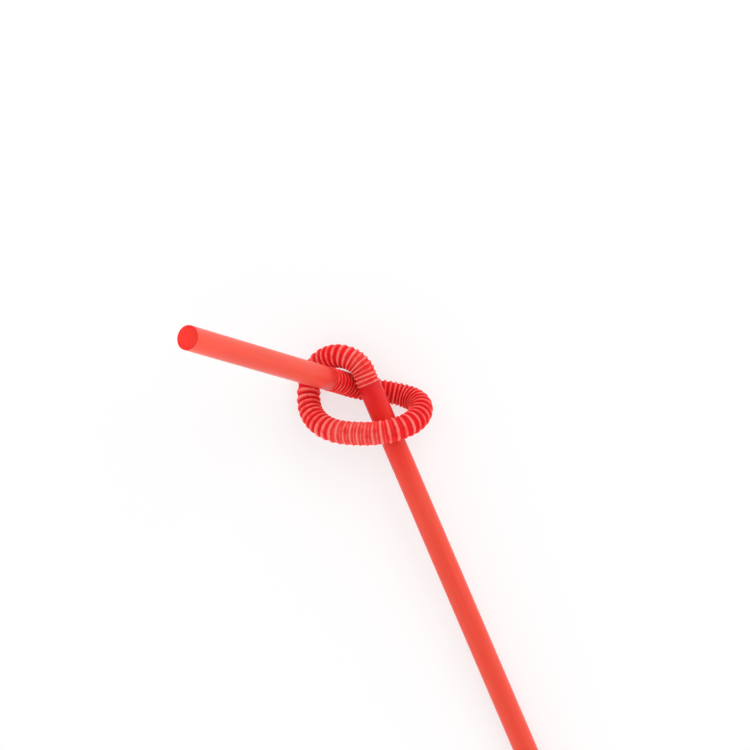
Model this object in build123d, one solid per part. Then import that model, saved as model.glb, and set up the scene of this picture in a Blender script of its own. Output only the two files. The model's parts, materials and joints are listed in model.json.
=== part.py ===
from build123d import *
import os
from math import asin, atan2, cos, hypot, radians, sin

# Flexible drinking straw whose bellows is tied in a loose overhand knot, lying at rest on the floor

# Plain tube, one thin wall, cut square at both ends
straw_diameter = 6.0
wall = 0.2
stem_length = 128.6
mouth_length = 59.4

# Bellows between the stem and the mouth piece
ring_count = 54
ridge_rise = 0.1
fold_depth = 0.3
passage_inset = 0.55
rings_per_bend = 2

# Headings of the plain ends seen from above, turned left from +Y, and the slope of the mouth piece
stem_turn_deg = 23.2
mouth_turn_deg = 73.1
mouth_slope_deg = 55.9

# Opening of the rings: place along the row of rings, and pitch there beside the widest pitch
PITCH_SHARES = (
    (0.00, 0.46),
    (0.11, 0.46),
    (0.13, 0.65),
    (0.20, 0.65),
    (0.22, 0.95),
    (0.29, 1.00),
    (0.31, 0.78),
    (0.33, 0.66),
    (0.37, 0.66),
    (0.39, 0.83),
    (0.43, 0.79),
    (0.58, 0.79),
    (0.61, 0.88),
    (0.64, 0.88),
    (0.66, 0.70),
    (0.69, 0.54),
    (0.74, 0.56),
    (0.82, 0.60),
    (1.00, 0.65),
)

# Route of the knot from the stem to the mouth piece in shares of the ridge diameter, heights above the floor:
# a knot drawn up on itself is as large as its tube is thick
ROUTE_SHARES = (
    (0.17, 0.41, 1.81),
    (0.08, 0.62, 1.82),
    (-0.16, 1.13, 1.82),
    (-0.76, 1.55, 1.66),
    (-1.58, 1.51, 1.11),
    (-2.17, 0.91, 0.56),
    (-2.35, 0.03, 0.60),
    (-2.14, -0.88, 1.22),
    (-1.38, -1.43, 1.88),
    (-0.37, -1.57, 2.42),
    (0.66, -1.53, 2.70),
    (1.57, -1.29, 2.58),
    (2.20, -0.87, 1.92),
    (2.23, -0.36, 1.08),
    (1.71, -0.07, 0.60),
    (0.95, 0.11, 0.52),
    (0.20, 0.21, 0.63),
    (-0.50, 0.36, 0.95),
    (-1.11, 0.56, 1.76),
    (-1.51, 0.67, 2.37),
)

# Sizes that follow
straw_radius = straw_diameter / 2
ridge_diameter = straw_diameter + 2 * ridge_rise
ridge_radius = ridge_diameter / 2
valley_radius = ridge_radius - fold_depth
bore_radius = straw_radius - wall
passage_radius = valley_radius - passage_inset


def heading(turn, slope):
    # Unit direction that is turned left from +Y and climbs
    return Vector(-sin(turn) * cos(slope), cos(turn) * cos(slope), sin(slope))


def share_at(table, place):
    # Value at a place in a table of places and shares, straight between its rows
    for (before, low), (after, high) in zip(table, table[1:]):
        if place <= after:
            return low + (high - low) * (place - before) / (after - before)
    return table[-1][1]


# Route of the bellows, with the stem sloped so that its cut end just meets the floor
points = [Vector(*share) * ridge_diameter for share in ROUTE_SHARES]
stem_slope = asin(points[0].Z / hypot(stem_length, straw_radius)) - atan2(straw_radius, stem_length)
stem_heading = heading(radians(stem_turn_deg), stem_slope)
mouth_heading = heading(radians(mouth_turn_deg), radians(mouth_slope_deg))
route = Edge.make_spline(points, tangents=[stem_heading, mouth_heading], scale=False)

# Places of ridges and valleys along the route, from the pitch of each ring
opening = [share_at(PITCH_SHARES, (ring + 0.5) / ring_count) for ring in range(ring_count)]
widest_pitch = route.length / sum(opening)
places = [0]
radii = [straw_radius]
for share in opening:
    ring_start = places[-1]
    places.append(ring_start + share * widest_pitch / 2)
    radii.append(ridge_radius)
    places.append(ring_start + share * widest_pitch)
    radii.append(valley_radius)
radii[-1] = straw_radius

# Planes square to the route, carried along it without twist
side = Vector(0, 0, 1).cross(stem_heading)
planes = []
for place in places:
    ahead = route.tangent_at(place / route.length)
    side = (side - ahead * side.dot(ahead)).normalized()
    planes.append(Plane(origin=route.position_at(place / route.length), x_dir=side, z_dir=ahead))


def moved_along(plane, distance):
    # The same plane further on along its own axis
    return Plane(origin=plane.origin + plane.z_dir * distance, x_dir=plane.x_dir, z_dir=plane.z_dir)


def skin(planes, radii):
    # Solid skin along the straw: stem, bellows, mouth piece, straight between one loop and the next
    tail = moved_along(planes[0], -stem_length)
    mouth = moved_along(planes[-1], mouth_length)
    stations = [tail] + planes + [mouth]
    sizes = [radii[0]] + radii + [radii[-1]]
    loops = [Wire.make_circle(size, plane) for size, plane in zip(sizes, stations)]
    return Solid.make_loft(loops, ruled=True)


# Every fold on the outside, and a plain passage within that bends every few rings
outside = skin(planes, radii)
bends = planes[: -1 : 2 * rings_per_bend] + [planes[-1]]
inside = skin(bends, [bore_radius] + [passage_radius] * (len(bends) - 2) + [bore_radius])

# One hollow wall: the two skins joined by a ring of wall at each cut end
outside_ends = outside.faces().filter_by(GeomType.PLANE).sort_by(Axis.Z)
inside_ends = inside.faces().filter_by(GeomType.PLANE).sort_by(Axis.Z)
faces = []
for outer_end, inner_end in zip(outside_ends, inside_ends):
    faces.append(Face(outer_end.outer_wire(), [inner_end.outer_wire()]))
faces += outside.faces().filter_by(GeomType.PLANE, reverse=True)
faces += inside.faces().filter_by(GeomType.PLANE, reverse=True)
straw = Solid(Shell(faces))

# Set down with the middle of its box over the origin
box = straw.bounding_box()
straw = straw.moved(Location((-box.center().X, -box.center().Y, -box.min.Z)))

os.makedirs("parts", exist_ok=True)
export_step(straw, "parts/straw.step")
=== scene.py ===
import json
from math import exp
from typing import NamedTuple

import bmesh
import bpy
import numpy as np
from mathutils import Matrix, Vector


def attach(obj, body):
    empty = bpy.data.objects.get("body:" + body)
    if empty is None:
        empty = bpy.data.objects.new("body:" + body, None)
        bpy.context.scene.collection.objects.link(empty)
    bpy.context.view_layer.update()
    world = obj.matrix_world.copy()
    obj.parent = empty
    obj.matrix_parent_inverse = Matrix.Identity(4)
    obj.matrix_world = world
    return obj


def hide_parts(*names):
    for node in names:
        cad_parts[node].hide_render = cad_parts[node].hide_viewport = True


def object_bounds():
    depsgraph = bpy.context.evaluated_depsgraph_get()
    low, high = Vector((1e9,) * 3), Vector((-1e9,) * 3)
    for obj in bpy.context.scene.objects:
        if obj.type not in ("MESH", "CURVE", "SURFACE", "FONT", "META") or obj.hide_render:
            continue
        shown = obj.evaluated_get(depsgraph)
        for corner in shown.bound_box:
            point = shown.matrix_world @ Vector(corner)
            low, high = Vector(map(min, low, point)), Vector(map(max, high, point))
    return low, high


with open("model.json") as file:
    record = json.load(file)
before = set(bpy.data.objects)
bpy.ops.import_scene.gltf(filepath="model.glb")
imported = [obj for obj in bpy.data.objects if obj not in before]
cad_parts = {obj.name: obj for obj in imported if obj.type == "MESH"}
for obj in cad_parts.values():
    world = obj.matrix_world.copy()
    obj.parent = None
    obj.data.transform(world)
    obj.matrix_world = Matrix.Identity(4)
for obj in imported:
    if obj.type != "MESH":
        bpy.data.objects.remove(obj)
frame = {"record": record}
cad_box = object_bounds()

# Sizes of the straw, in metres
MM = 0.001
STRAW_RADIUS = 3.0 * MM
WALL = 0.2 * MM
RIDGE_RADIUS = 3.1 * MM
FOLD_DEPTH = 0.3 * MM

# Rounding of the rims, and how far along the tube the painted shade of the darker cut edge reaches
RIM_ROUND = 0.06 * MM
CUT_EDGE = 4 * RIM_ROUND

# Fineness of the mesh, of the centre line and of its headings
SEGMENTS = 60
PLAIN_STEP = 4.0 * MM
SPINE_STEPS = 6000
HEADING_REACH = 0.02 * MM

# Bellows: how many rings, and how far each is drawn open beside the widest, along the row of rings
RING_COUNT = 67
PITCH_SHARES = (
    (0.00, 0.46),
    (0.11, 0.46),
    (0.13, 0.65),
    (0.20, 0.65),
    (0.22, 0.93),
    (0.28, 0.98),
    (0.31, 0.78),
    (0.33, 0.66),
    (0.37, 0.66),
    (0.39, 0.83),
    (0.43, 0.79),
    (0.53, 0.79),
    (0.57, 0.72),
    (0.61, 0.74),
    (0.64, 0.84),
    (0.66, 0.66),
    (0.69, 0.54),
    (0.74, 0.56),
    (0.82, 0.60),
    (1.00, 0.65),
)

# One ring from valley to valley in shares of its pitch, finer outside than in the bore
RING_MIDDLE = 0.5
RING_PLACES = (0.08, 0.18, 0.28, 0.36, 0.43, 0.50, 0.57, 0.64, 0.72, 0.82, 0.92, 1.00)
BORE_PLACES = (0.25, 0.50, 0.75, 1.00)

# How far single rings depart from the even row, with the seeds of their numbers: in pitch and
# crest whitening with its painted highlight as shares, and in lean off square, sideways and upwards
UNEVEN_PITCH = 0.05
PITCH_SEED = 5
UNEVEN_WHITENING_AND_HIGHLIGHT = 0.22
WHITENING_AND_HIGHLIGHT_SEED = 7
UNEVEN_LEAN = 0.03
LEAN_SEEDS = (8, 9)

# Form of the rings along their row: width of the crest in shares of the pitch, and depth of the
# fold beside the usual one
RING_FORMS = (
    (0.00, 0.20, 1.15),
    (0.20, 0.22, 1.10),
    (0.26, 0.26, 1.20),
    (0.38, 0.26, 1.30),
    (0.42, 0.15, 0.60),
    (0.49, 0.15, 0.60),
    (0.53, 0.19, 1.00),
    (0.58, 0.18, 1.00),
    (0.66, 0.18, 1.00),
    (0.70, 0.21, 1.40),
    (0.86, 0.21, 1.40),
    (0.90, 0.16, 1.20),
    (1.00, 0.16, 1.20),
)

# Paleness of the rings along their row, from whitening of the stretched film and from painted light
# (a painted highlight on the crests, painted shade where the rings lie in the knot's shade): on the
# crests, on the flanks and in the folds between them
RING_WHITENING_AND_PAINTED_LIGHT = (
    (0.00, 1.05, 0.36, 0.26),
    (0.09, 1.05, 0.36, 0.26),
    (0.13, 0.95, 0.10, 0.05),
    (0.18, 0.84, 0.02, 0.00),
    (0.26, 0.84, 0.00, 0.00),
    (0.34, 0.90, 0.00, 0.00),
    (0.38, 1.10, 0.00, 0.00),
    (0.42, 1.15, 0.40, 0.85),
    (0.49, 1.20, 0.40, 0.85),
    (0.53, 1.10, 0.10, 0.30),
    (0.58, 0.85, 0.03, 0.08),
    (0.62, 0.70, 0.00, 0.00),
    (0.70, 0.65, 0.00, 0.00),
    (0.80, 0.80, 0.00, 0.00),
    (0.88, 0.70, 0.00, 0.00),
    (1.00, 0.70, 0.00, 0.00),
)

# Painted shade on the plain tubes, deepest beside the bellows where the knot shades them: how pale
# beside the bellows, over what length they would go all the way to pale, and how pale they get
STEM_PAINTED_SHADE = (0.05, 34.0 * MM, 0.94)
MOUTH_PAINTED_SHADE = (0.50, 24.0 * MM, 1.00)

# Route of the knot from the stem to the mouth piece in shares of the ridge diameter, as in the CAD
# part
ROUTE_SHARES = (
    (0.17, 0.41, 1.81),
    (0.08, 0.62, 1.82),
    (-0.16, 1.13, 1.82),
    (-0.76, 1.55, 1.66),
    (-1.58, 1.51, 1.11),
    (-2.17, 0.91, 0.56),
    (-2.35, 0.03, 0.60),
    (-2.14, -0.88, 1.22),
    (-1.38, -1.43, 1.88),
    (-0.37, -1.57, 2.42),
    (0.66, -1.53, 2.70),
    (1.57, -1.29, 2.58),
    (2.20, -0.87, 1.92),
    (2.23, -0.36, 1.08),
    (1.71, -0.07, 0.60),
    (0.95, 0.11, 0.52),
    (0.20, 0.21, 0.63),
    (-0.50, 0.36, 0.95),
    (-1.11, 0.56, 1.76),
    (-1.51, 0.67, 2.37),
)

# Reds of the film: on the bellows from the folds, deep red with painted shade, to the crests, pale
# from whitening and a painted highlight; on the plain tubes from the cut edge, darkened with
# painted shade, over the painted shade beside the knot to the pale tube; and inside the bore, a
# purer red painted for the red light that bounces in it
BELLOWS_REDS_WITH_PAINTED_LIGHT = (
    (0.00, (0.52, 0.001, 0.006)),
    (0.15, (0.90, 0.008, 0.012)),
    (0.50, (0.99, 0.055, 0.045)),
    (1.00, (0.995, 0.185, 0.165)),
)
PLAIN_REDS_WITH_PAINTED_SHADE = (
    (0.00, (0.40, 0.003, 0.005)),
    (0.05, (0.68, 0.006, 0.009)),
    (1.00, (0.995, 0.075, 0.044)),
)
BORE_RED_WITH_PAINTED_BOUNCE = (0.995, 0.008, 0.007)

# Translucence of the film: how its depth differs by colour, and how deep the light goes outside
# and in the bore
GLOW_BY_COLOUR = (1.0, 0.75, 0.68)
OUTSIDE_GLOW = 0.9 * MM
BORE_GLOW = 2.5 * MM

# Surface of the film: its shine, patches that vary the bellows' whitening and painted light,
# streaks drawn lengthwise that vary roughness and tone and stand up in a fine relief, and the dull
# bellows
FILM_IOR = 1.55
SHINE_TINT = (1.0, 0.3, 0.3)
NOISE_SPAN = (0.3, 0.7)
PATCH_SCALE = 600
PATCH_DETAIL = 2
PATCH_MARKS = (0.65, 1.35)
STREAK_SCALE = 1500
STREAK_DETAIL = 3
STREAK_STRETCH = (1, 1, 0.02)
STREAK_ROUGHNESS = (0.32, 0.46)
STREAK_TONE = (0.93, 1.03)
RELIEF_STRENGTH = 0.15
RELIEF_HEIGHT = 0.01 * MM
BELLOWS_ROUGHNESS = 0.85

# Floor: a wide disc of matt white paper, and how much of its white shows past light and shadow
FLOOR_RADIUS = 4.0
FLOOR_SEGMENTS = 64
FLOOR_COLOUR = (0.8, 0.8, 0.8)
FLOOR_ROUGHNESS = 0.9
FLOOR_WHITE = 0.97
FLOOR_WHITE_SHARE = 0.6

# Camera looking straight down over the knot, with the lens that gives the photograph's frame
CAMERA_PLACE = (-2.755 * MM, 55.010 * MM, 623.5 * MM)
CAMERA_LENS = 115.2
CAMERA_SENSOR = 36.0
CAMERA_NEAR = 10 * MM

# Studio light: level of the white surroundings at the horizon and overhead, a key lamp and a larger
# fill overhead
HORIZON_LEVEL = 2.2
ZENITH_LEVEL = 0.15
KNOT_CENTRE = (-0.005, 0.05, 0.01)
KEY_PLACE = (0.40, 0.50, 0.75)
KEY_SIZE = 0.6
KEY_POWER = 1.8
FILL_PLACE = (0.0, 0.05, 1.2)
FILL_SIZE = 1.5
FILL_POWER = 7.5


class Row(NamedTuple):
    # One row of the wall's section: its distance from the stem's cut end, its radius, how pale the
    # film is there from whitening and from painted light and shade, and whether it is on the
    # bellows and in the bore

    place: float
    radius: float
    whitening_and_painted_light: float = 0
    ringed: int = 0
    inside: int = 0


def plain_end(name):
    # Centre of a plain tube's cut end, its outward direction and its length, from its mount
    mount = next(m for m in frame["record"]["mounts"] if m["name"] == name)
    axis = Vector(mount["axis"]).normalized()
    return Vector(mount["pos_m"]), axis, mount["dims"]["length_mm"] * MM


def knot_curve(points, first_heading, last_heading):
    # Smooth curve through the points, one span to a chord, with the headings given at both ends
    points = np.array(points)
    chords = np.linalg.norm(np.diff(points, axis=0), axis=1)
    count = len(points)
    weights = np.eye(count)
    wanted = np.zeros((count, 3))
    wanted[0] = first_heading
    wanted[-1] = last_heading
    for i in range(1, count - 1):
        before, after = chords[i - 1], chords[i]
        weights[i, i - 1:i + 2] = 1 / before, 2 / before + 2 / after, 1 / after
        step_in, step_out = points[i] - points[i - 1], points[i + 1] - points[i]
        wanted[i] = 3 * step_in / before**2 + 3 * step_out / after**2
    slopes = np.linalg.solve(weights, wanted)
    knots = np.concatenate([[0], np.cumsum(chords)])
    travel = np.linspace(0, knots[-1], SPINE_STEPS)
    span = np.clip(np.searchsorted(knots, travel, side="right") - 1, 0, count - 2)
    chord = chords[span][:, None]
    t = (travel - knots[span])[:, None] / chord
    return (
        points[span] * (1 + 2 * t) * (1 - t) ** 2
        + points[span + 1] * (3 - 2 * t) * t**2
        + slopes[span] * chord * t * (1 - t) ** 2
        - slopes[span + 1] * chord * t**2 * (1 - t)
    )


class Spine:
    # Centre line of the whole straw, measured from the cut end of the stem

    def __init__(self):
        tail, tail_axis, self.stem_length = plain_end("stem_bore")
        mouth, mouth_axis, self.mouth_length = plain_end("mouth_bore")
        start = tail - tail_axis * self.stem_length
        end = mouth - mouth_axis * self.mouth_length
        shares = np.array(ROUTE_SHARES)
        points = np.array(start) + (shares - shares[0]) * 2 * RIDGE_RADIUS
        points[-1] = end
        self.line = np.vstack([tail, knot_curve(points, -tail_axis, mouth_axis), mouth])
        steps = np.linalg.norm(np.diff(self.line, axis=0), axis=1)
        self.run = np.concatenate([[0], np.cumsum(steps)])
        self.length = self.run[-1]
        self.bellows_length = self.length - self.stem_length - self.mouth_length

    def at(self, distance):
        return Vector([np.interp(distance, self.run, self.line[:, k]) for k in range(3)])

    def heading(self, distance):
        low = max(distance - HEADING_REACH, 0)
        high = min(distance + HEADING_REACH, self.length)
        return (self.at(high) - self.at(low)).normalized()


def evenly(start, stop, step):
    # Places from start to stop, both included, no further apart than the step
    count = int(np.ceil((stop - start) / step))
    return [float(place) for place in np.linspace(start, stop, count + 1)]


def unevenly(seed):
    # One number from -1 to 1 for each ring
    return np.random.default_rng(seed).uniform(-1, 1, RING_COUNT)


def ring_pitches(spine):
    # Pitch of each ring from the stem to the mouth piece
    rings = (np.arange(RING_COUNT) + RING_MIDDLE) / RING_COUNT
    places, shares = np.transpose(PITCH_SHARES)
    pitches = np.interp(rings, places, shares)
    pitches *= 1 + UNEVEN_PITCH * unevenly(PITCH_SEED)
    return pitches * spine.bellows_length / pitches.sum()


def ring_leans(spine, places):
    # Lean of the rings at each place, sideways and upwards, none on the plain tubes
    pitches = ring_pitches(spine)
    ends = spine.stem_length + np.cumsum(pitches)
    middles = [spine.stem_length, *(ends - pitches / 2), ends[-1]]
    leans = [[0, *(UNEVEN_LEAN * unevenly(seed)), 0] for seed in LEAN_SEEDS]
    return [np.interp(places, middles, lean) for lean in leans]


def plain_row(place, radius, tone, from_bellows):
    # A row of a plain tube, its painted shade fading with its distance from the bellows
    start, fade, most = tone
    return Row(place, radius, min(start + from_bellows / fade, most))


def stem_rows(spine, radius):
    # The stem from its rim to the bellows, with painted shade at the cut edge and beside the
    # bellows
    end = spine.stem_length
    places = evenly(RIM_ROUND, end, PLAIN_STEP)
    places.insert(1, CUT_EDGE)
    rows = [plain_row(place, radius, STEM_PAINTED_SHADE, end - place) for place in places]
    rows[0] = Row(rows[0].place, radius)
    return rows


def mouth_rows(spine, start, radius):
    # The mouth piece from the bellows to its rim, with painted shade beside the bellows and at the
    # cut edge
    places = evenly(start, spine.length - RIM_ROUND, PLAIN_STEP)
    places.insert(-1, spine.length - CUT_EDGE)
    rows = [plain_row(place, radius, MOUTH_PAINTED_SHADE, place - start) for place in places]
    rows[-1] = Row(rows[-1].place, radius)
    return rows


def ring_rows(spine, ring_places, inset):
    # The bellows, every ring with its own form, whitening and painted light and shade
    along = np.arange(RING_COUNT) / RING_COUNT
    form_places, widths, depths = np.transpose(RING_FORMS)
    mark_places, on_crests, on_flanks, in_folds = np.transpose(RING_WHITENING_AND_PAINTED_LIGHT)
    marks = 1 + UNEVEN_WHITENING_AND_HIGHLIGHT * unevenly(WHITENING_AND_HIGHLIGHT_SEED)
    rows = []
    ring_start = spine.stem_length
    for at, pitch, mark in zip(along, ring_pitches(spine), marks):
        crest_width = np.interp(at, form_places, widths)
        fold_depth = np.interp(at, form_places, depths) * FOLD_DEPTH
        on_crest = np.interp(at, mark_places, on_crests) * mark
        on_flank = np.interp(at, mark_places, on_flanks)
        in_fold = np.interp(at, mark_places, in_folds)
        for place in ring_places:
            height = exp(-(((place - RING_MIDDLE) / crest_width) ** 2))
            radius = RIDGE_RADIUS - (1 - height) * fold_depth - inset
            # Crests pale from whitening and a painted highlight, folds and shaded rings darker with
            # painted shade
            whitening_and_painted_light = max(height * on_crest, in_fold if place == 1 else on_flank)
            rows.append(Row(ring_start + place * pitch, radius, whitening_and_painted_light, ringed=1))
        ring_start += pitch
    return rows


def profile(spine, ring_places, inset):
    # Rows from the stem to the mouth, where the mouth piece takes the place of the last valley
    plain_radius = STRAW_RADIUS - inset
    rows = stem_rows(spine, plain_radius) + ring_rows(spine, ring_places, inset)
    mouth_start = rows.pop().place
    return rows + mouth_rows(spine, mouth_start, plain_radius)


def wall_section(spine):
    # The whole section of the wall: out along the outside, round the mouth's rim, back along the
    # bore and round the stem's rim
    outside = profile(spine, RING_PLACES, 0)
    bore = [row._replace(inside=1) for row in reversed(profile(spine, BORE_PLACES, WALL))]
    tail_rim = [Row(0, STRAW_RADIUS - WALL + RIM_ROUND), Row(0, STRAW_RADIUS - RIM_ROUND)]
    mouth_rim = [row._replace(place=spine.length) for row in reversed(tail_rim)]
    return outside + mouth_rim + bore + tail_rim


def station_matrices(spine, section):
    # A turned and sized ring for each row of the section, carried along the centre line without
    # twist
    places = sorted({row.place for row in section})
    side = Vector((0, 0, 1)).cross(spine.heading(0))
    rings = {}
    for place, lean_across, lean_up in zip(places, *ring_leans(spine, places)):
        ahead = spine.heading(place)
        side = (side - ahead * side.dot(ahead)).normalized()
        leant = (ahead + side * lean_across + ahead.cross(side) * lean_up).normalized()
        across = (side - leant * side.dot(leant)).normalized()
        rings[place] = (across, leant.cross(across), leant, spine.at(place))
    matrices = []
    for row in section:
        across, up, ahead, centre = rings[row.place]
        columns = (across * row.radius, up * row.radius, ahead, centre)
        matrices.append(Matrix([[c[k] for c in columns] for k in range(3)] + [[0, 0, 0, 1]]))
    return matrices


def straight_tube(rings):
    # Plain tube of unit radius, turned over and stood on its end, cut into rings one unit apart
    height = rings - 1
    turned_over = Matrix.Diagonal((1, 1, -1, 1))
    on_end = Matrix.Translation((0, 0, height / 2)) @ turned_over
    bm = bmesh.new()
    bmesh.ops.create_cone(
        bm, segments=SEGMENTS, radius1=1, radius2=1, depth=height, matrix=on_end
    )
    lengthwise = [edge for edge in bm.edges if edge.verts[0].co.z != edge.verts[1].co.z]
    bmesh.ops.subdivide_edges(bm, edges=lengthwise, cuts=rings - 2, use_grid_fill=True)
    return bm


def build_straw():
    # One thin wall: a straight tube whose rings follow the wall's section, closed at the stem's
    # cut end, with each point's place on the straightened straw and the state of the film there,
    # painted light and shade included
    spine = Spine()
    section = wall_section(spine)
    matrices = station_matrices(spine, section)
    bm = straight_tube(len(section))
    straightened = bm.verts.layers.float_vector.new("straightened")
    whitened_and_painted_light = bm.verts.layers.float.new("whitened_and_painted_light")
    bellows = bm.verts.layers.float.new("bellows")
    bore = bm.verts.layers.float.new("bore")
    for vert in bm.verts:
        ring = round(vert.co.z)
        row = section[ring]
        vert[straightened] = Vector((vert.co.x * row.radius, vert.co.y * row.radius, row.place))
        vert[whitened_and_painted_light] = row.whitening_and_painted_light
        vert[bellows] = row.ringed
        vert[bore] = row.inside
        vert.co = matrices[ring] @ Vector((vert.co.x, vert.co.y, 0))
    bmesh.ops.bridge_loops(bm, edges=[edge for edge in bm.edges if edge.is_boundary])
    bmesh.ops.recalc_face_normals(bm, faces=bm.faces)
    for face in bm.faces:
        face.smooth = True
    mesh = bpy.data.meshes.new("flexible_straw")
    bm.to_mesh(mesh)
    bm.free()
    straw = bpy.data.objects.new("flexible_straw", mesh)
    bpy.context.scene.collection.objects.link(straw)
    return straw


def feed(tree, socket, value):
    # Joins a socket to another node's output, or sets it to a plain value
    if isinstance(value, bpy.types.NodeSocket):
        tree.links.new(value, socket)
    else:
        socket.default_value = value


def film_attribute(tree, name):
    # What the mesh says about the film at each point
    node = tree.nodes.new("ShaderNodeAttribute")
    node.attribute_name = name
    return node


def noise(tree, place, scale, detail):
    node = tree.nodes.new("ShaderNodeTexNoise")
    feed(tree, node.inputs["Vector"], place)
    feed(tree, node.inputs["Scale"], scale)
    feed(tree, node.inputs["Detail"], detail)
    return node.outputs["Fac"]


def ranged(tree, value, to_span, from_span=(0, 1)):
    # The value moved from one span of numbers to another, and held at its ends
    node = tree.nodes.new("ShaderNodeMapRange")
    feed(tree, node.inputs["Value"], value)
    for end, start, finish in zip(("Min", "Max"), from_span, to_span):
        feed(tree, node.inputs["From " + end], start)
        feed(tree, node.inputs["To " + end], finish)
    return node.outputs["Result"]


def worked_out(tree, operation, first, second):
    node = tree.nodes.new("ShaderNodeMath")
    node.operation = operation
    feed(tree, node.inputs[0], first)
    feed(tree, node.inputs[1], second)
    return node.outputs["Value"]


def mixed(tree, kind, share, first, second):
    # From the first to the second, colours or numbers, as the share goes from 0 to 1
    node = tree.nodes.new("ShaderNodeMix")
    node.data_type = kind
    feed(tree, node.inputs["Factor"], share)
    feed(tree, node.inputs["A"], first)
    feed(tree, node.inputs["B"], second)
    return node.outputs["Result"]


def reds_along(tree, share, reds):
    # Red that goes through the reds given at their places as the share goes from 0 to 1
    node = tree.nodes.new("ShaderNodeValToRGB")
    stops = node.color_ramp.elements
    for stop, (_, red) in zip(stops, (reds[0], reds[-1])):
        stop.color = (*red, 1)
    for place, red in reds[1:-1]:
        stops.new(place).color = (*red, 1)
    feed(tree, node.inputs["Fac"], share)
    return node.outputs["Color"]


def straw_plastic():
    # Red translucent polypropylene, drawn lengthwise; in the bellows denser and duller, pale on the
    # stretched crests from whitening and a painted highlight, and deep red in the folds with
    # painted shade; on the plain tubes painted shade beside the knot and at the cut edge, and in
    # the bore a purer red painted for the red light that bounces in it
    material = bpy.data.materials.new("straw_plastic")
    material.use_nodes = True
    tree = material.node_tree
    shader = tree.nodes["Principled BSDF"].inputs
    feed(tree, shader["IOR"], FILM_IOR)
    feed(tree, shader["Specular Tint"], (*SHINE_TINT, 1))
    feed(tree, shader["Subsurface Weight"], 1.0)
    feed(tree, shader["Subsurface Radius"], GLOW_BY_COLOUR)

    place = film_attribute(tree, "straightened").outputs["Vector"]
    whitened_and_painted_light = film_attribute(tree, "whitened_and_painted_light").outputs["Fac"]
    ringed = film_attribute(tree, "bellows").outputs["Fac"]
    inside = film_attribute(tree, "bore").outputs["Fac"]

    patches = noise(tree, place, PATCH_SCALE, PATCH_DETAIL)
    marks = ranged(tree, patches, PATCH_MARKS, NOISE_SPAN)
    patchy = worked_out(tree, "MULTIPLY", whitened_and_painted_light, marks)
    # Bellows red: painted shade in the folds, whitening and a painted highlight on the crests
    bellows_red = reds_along(tree, patchy, BELLOWS_REDS_WITH_PAINTED_LIGHT)
    # Plain tubes: painted shade at the cut edge and beside the knot
    plain_red = reds_along(tree, whitened_and_painted_light, PLAIN_REDS_WITH_PAINTED_SHADE)
    outside_red = mixed(tree, "RGBA", ringed, plain_red, bellows_red)
    # Bore: a purer red painted for the red light that bounces inside it
    film_red = mixed(tree, "RGBA", inside, outside_red, (*BORE_RED_WITH_PAINTED_BOUNCE, 1))
    feed(tree, shader["Subsurface Scale"], ranged(tree, inside, (OUTSIDE_GLOW, BORE_GLOW)))

    stretch = tree.nodes.new("ShaderNodeMapping")
    feed(tree, stretch.inputs["Vector"], place)
    feed(tree, stretch.inputs["Scale"], STREAK_STRETCH)
    streaks = noise(tree, stretch.outputs["Vector"], STREAK_SCALE, STREAK_DETAIL)
    satin = ranged(tree, streaks, STREAK_ROUGHNESS, NOISE_SPAN)
    feed(tree, shader["Roughness"], mixed(tree, "FLOAT", ringed, satin, BELLOWS_ROUGHNESS))
    tone = tree.nodes.new("ShaderNodeHueSaturation")
    feed(tree, tone.inputs["Value"], ranged(tree, streaks, STREAK_TONE, NOISE_SPAN))
    feed(tree, tone.inputs["Color"], film_red)
    feed(tree, shader["Base Color"], tone.outputs["Color"])

    relief = tree.nodes.new("ShaderNodeBump")
    feed(tree, relief.inputs["Strength"], RELIEF_STRENGTH)
    feed(tree, relief.inputs["Distance"], RELIEF_HEIGHT)
    feed(tree, relief.inputs["Height"], streaks)
    feed(tree, shader["Normal"], relief.outputs["Normal"])
    return material


def pale_floor_finish():
    # Matt white floor that reads as white paper and still takes the straw's shadow
    material = bpy.data.materials.new("pale_floor")
    material.use_nodes = True
    tree = material.node_tree
    paper = tree.nodes["Principled BSDF"]
    feed(tree, paper.inputs["Base Color"], (*FLOOR_COLOUR, 1))
    feed(tree, paper.inputs["Roughness"], FLOOR_ROUGHNESS)
    feed(tree, paper.inputs["Specular IOR Level"], 0.0)
    white = tree.nodes.new("ShaderNodeEmission")
    feed(tree, white.inputs["Strength"], FLOOR_WHITE)
    ray = tree.nodes.new("ShaderNodeLightPath").outputs
    seen = worked_out(tree, "MAXIMUM", ray["Is Camera Ray"], ray["Is Glossy Ray"])
    mix = tree.nodes.new("ShaderNodeMixShader")
    feed(tree, mix.inputs["Fac"], worked_out(tree, "MULTIPLY", seen, FLOOR_WHITE_SHARE))
    feed(tree, mix.inputs[1], paper.outputs["BSDF"])
    feed(tree, mix.inputs[2], white.outputs["Emission"])
    feed(tree, tree.nodes["Material Output"].inputs["Surface"], mix.outputs["Shader"])
    return material


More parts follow.
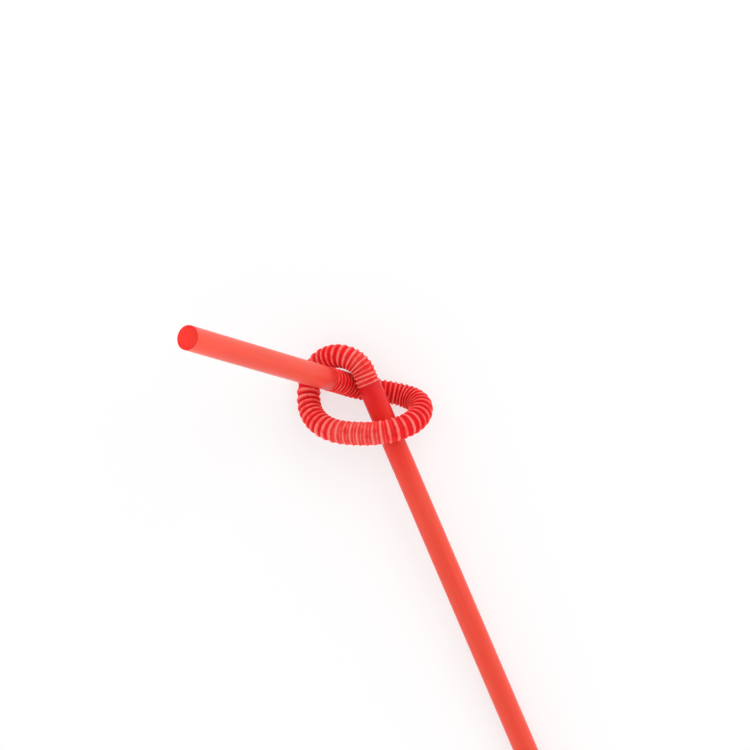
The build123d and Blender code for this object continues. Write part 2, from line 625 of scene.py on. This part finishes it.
def build_floor():
    bm = bmesh.new()
    height = Matrix.Translation((0, 0, cad_box[0].z))
    bmesh.ops.create_circle(
        bm, cap_ends=True, segments=FLOOR_SEGMENTS, radius=FLOOR_RADIUS, matrix=height
    )
    mesh = bpy.data.meshes.new("floor")
    bm.to_mesh(mesh)
    bm.free()
    floor = bpy.data.objects.new("floor", mesh)
    bpy.context.scene.collection.objects.link(floor)
    mesh.materials.append(pale_floor_finish())


def softbox(name, place, aim, size, power):
    lamp = bpy.data.lights.new(name, "AREA")
    lamp.shape = "DISK"
    lamp.size = size
    lamp.energy = power
    holder = bpy.data.objects.new(name, lamp)
    holder.location = place
    holder.rotation_euler = (Vector(aim) - Vector(place)).to_track_quat("-Z", "Y").to_euler()
    bpy.context.scene.collection.objects.link(holder)
    return holder


def light_the_studio():
    # White surroundings, dimmer overhead where the camera stands, with a key lamp from the
    # picture's upper right and a large fill overhead that lights without shining in the plastic
    world = bpy.data.worlds.new("studio")
    bpy.context.scene.world = world
    world.use_nodes = True
    tree = world.node_tree
    direction = tree.nodes.new("ShaderNodeTexCoord")
    parts = tree.nodes.new("ShaderNodeSeparateXYZ")
    feed(tree, parts.inputs["Vector"], direction.outputs["Generated"])
    level = ranged(tree, parts.outputs["Z"], (HORIZON_LEVEL, ZENITH_LEVEL))
    ray = tree.nodes.new("ShaderNodeLightPath").outputs
    around = tree.nodes["Background"].inputs
    feed(tree, around["Color"], (1, 1, 1, 1))
    feed(tree, around["Strength"], worked_out(tree, "MAXIMUM", level, ray["Is Camera Ray"]))
    softbox("key_lamp", KEY_PLACE, KNOT_CENTRE, KEY_SIZE, KEY_POWER)
    fill = softbox("fill_lamp", FILL_PLACE, KNOT_CENTRE, FILL_SIZE, FILL_POWER)
    fill.visible_glossy = False


def set_camera():
    lens = bpy.data.cameras.new("photo_camera")
    lens.lens = CAMERA_LENS
    lens.sensor_width = CAMERA_SENSOR
    lens.clip_start = CAMERA_NEAR
    camera = bpy.data.objects.new("photo_camera", lens)
    camera.location = CAMERA_PLACE
    bpy.context.scene.collection.objects.link(camera)
    bpy.context.scene.camera = camera


straw = build_straw()
straw.data.materials.append(straw_plastic())
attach(straw, "root")
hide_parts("straw")
build_floor()
light_the_studio()
set_camera()
bpy.context.scene.view_settings.view_transform = "Standard"
